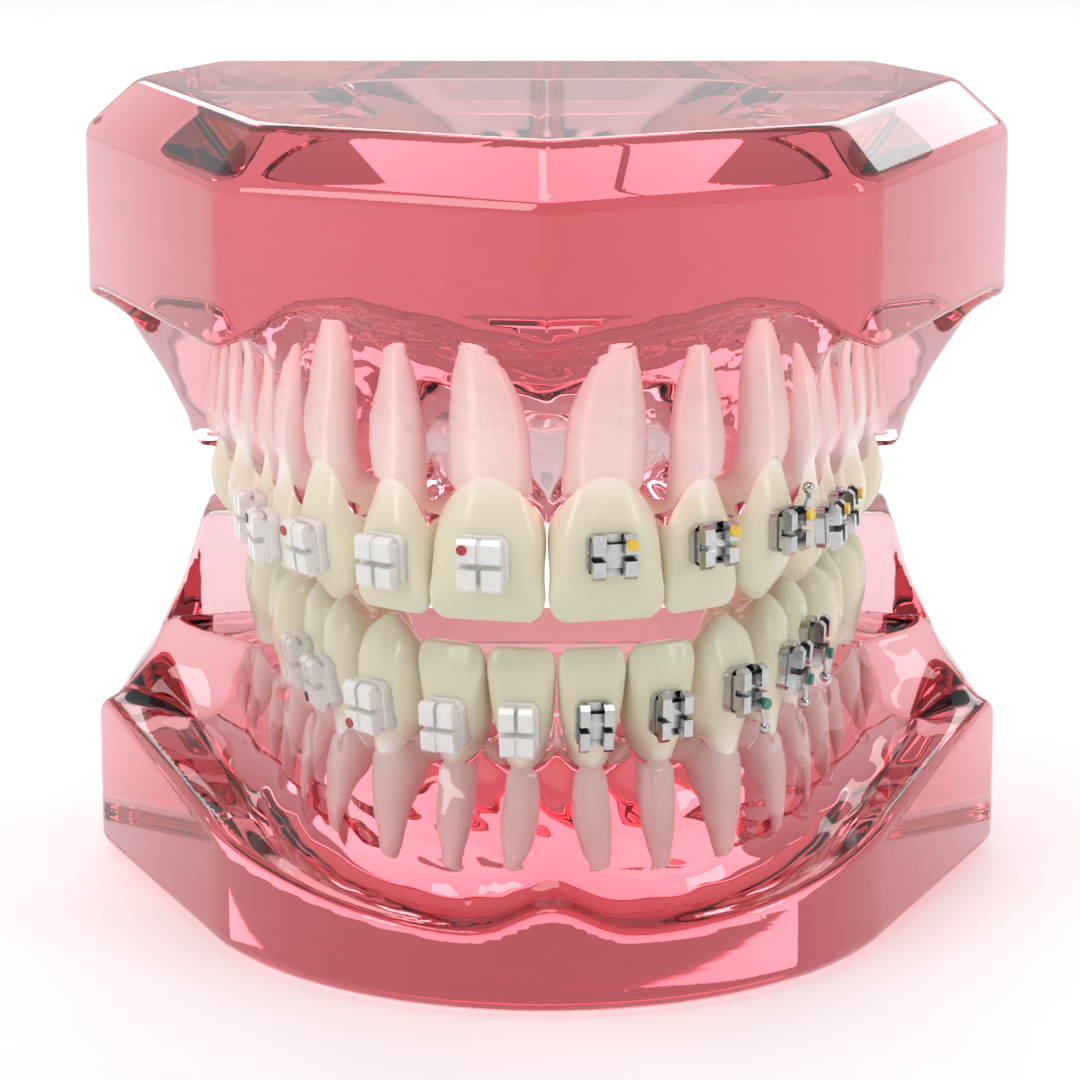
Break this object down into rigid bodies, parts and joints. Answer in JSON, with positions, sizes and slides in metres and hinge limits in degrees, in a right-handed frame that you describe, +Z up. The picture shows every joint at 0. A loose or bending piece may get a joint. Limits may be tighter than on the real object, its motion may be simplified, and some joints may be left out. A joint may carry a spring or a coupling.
{
  "type": "orthodontic typodont",
  "caption": "Clear pink resin study model of both jaws in occlusion, with cast-in teeth showing their roots and brackets on the front teeth; the upper cast lifts off.",
  "frame": {"origin": "Centre of the closed model's bounding box in plan, on the flat underside that it stands on.", "axes": "+Z is up, -Y is the front of the mouth, +X is the patient's left, which carries the metal brackets."},
  "size_m": [0.0852, 0.066, 0.073],
  "materials": {
    "pink_resin": "clear, polished",
    "tooth_resin": "satin, slightly translucent",
    "steel": "polished",
    "ceramic": "translucent, satin",
    "yellow_paint": "gloss",
    "green_paint": "gloss",
    "red_paint": "gloss",
    "black_paint": "gloss"
  },
  "bodies": {
    "lower_cast": {"lower_base": "pink_resin", "lower_black_id_dots": "black_paint", "lower_green_id_dots": "green_paint", "lower_left_canine": "tooth_resin", "lower_left_canine_metal_bracket": "steel", "lower_left_central_incisor": "tooth_resin", "lower_left_central_incisor_metal_bracket": "steel", "lower_left_first_molar": "tooth_resin", "lower_left_first_premolar": "tooth_resin", "lower_left_first_premolar_metal_bracket": "steel", "lower_left_lateral_incisor": "tooth_resin", "lower_left_lateral_incisor_metal_bracket": "steel", "lower_left_second_molar": "tooth_resin", "lower_left_second_premolar": "tooth_resin", "lower_left_second_premolar_metal_bracket": "steel", "lower_red_id_dots": "red_paint", "lower_right_canine": "tooth_resin", "lower_right_canine_ceramic_bracket": "ceramic", "lower_right_central_incisor": "tooth_resin", "lower_right_central_incisor_ceramic_bracket": "ceramic", "lower_right_first_molar": "tooth_resin", "lower_right_first_premolar": "tooth_resin", "lower_right_first_premolar_ceramic_bracket": "ceramic", "lower_right_lateral_incisor": "tooth_resin", "lower_right_lateral_incisor_ceramic_bracket": "ceramic", "lower_right_second_molar": "tooth_resin", "lower_right_second_premolar": "tooth_resin", "lower_right_second_premolar_ceramic_bracket": "ceramic"},
    "upper_cast": {"upper_base": "pink_resin", "upper_black_id_dots": "black_paint", "upper_left_canine": "tooth_resin", "upper_left_canine_metal_bracket": "steel", "upper_left_central_incisor": "tooth_resin", "upper_left_central_incisor_metal_bracket": "steel", "upper_left_first_molar": "tooth_resin", "upper_left_first_premolar": "tooth_resin", "upper_left_first_premolar_metal_bracket": "steel", "upper_left_lateral_incisor": "tooth_resin", "upper_left_lateral_incisor_metal_bracket": "steel", "upper_left_second_molar": "tooth_resin", "upper_left_second_premolar": "tooth_resin", "upper_left_second_premolar_metal_bracket": "steel", "upper_red_id_dots": "red_paint", "upper_right_canine": "tooth_resin", "upper_right_canine_ceramic_bracket": "ceramic", "upper_right_central_incisor": "tooth_resin", "upper_right_central_incisor_ceramic_bracket": "ceramic", "upper_right_first_molar": "tooth_resin", "upper_right_first_premolar": "tooth_resin", "upper_right_first_premolar_ceramic_bracket": "ceramic", "upper_right_lateral_incisor": "tooth_resin", "upper_right_lateral_incisor_ceramic_bracket": "ceramic", "upper_right_second_molar": "tooth_resin", "upper_right_second_premolar": "tooth_resin", "upper_right_second_premolar_ceramic_bracket": "ceramic", "upper_yellow_id_dots": "yellow_paint"}
  },
  "joints": [
    {"name": "upper_cast_lift", "type": "slide", "parent": "lower_cast", "child": "upper_cast", "axis": [0, 0, 1], "range_m": [0, 0.06]}
  ]
}
